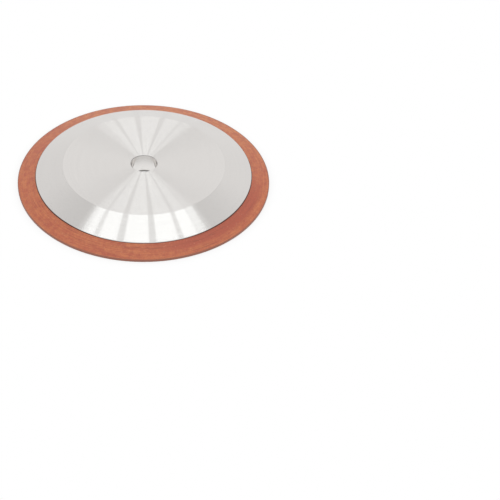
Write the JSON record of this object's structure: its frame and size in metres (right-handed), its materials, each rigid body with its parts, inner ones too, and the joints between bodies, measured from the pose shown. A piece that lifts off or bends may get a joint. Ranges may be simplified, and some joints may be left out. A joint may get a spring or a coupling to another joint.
{
  "type": "diamond sharpening disc",
  "caption": "Round grinding disc: a turned aluminium hub with a cone and a plain bore, and a thin tapered resin-bond abrasive rim for sharpening tools.",
  "frame": {"origin": "centre of the flat underside, on the bore's axis", "axes": "+Z along the bore's axis, from the flat underside towards the clamping face"},
  "size_m": [0.125, 0.125, 0.01],
  "materials": {
    "turned_aluminium": "fine turned",
    "filled_resin": "matt, finely speckled",
    "bonded_abrasive": "matt, fine grit"
  },
  "bodies": {
    "root": {"hub": "turned_aluminium", "backing_band": "filled_resin", "abrasive_rim": "bonded_abrasive"}
  },
  "joints": []
}
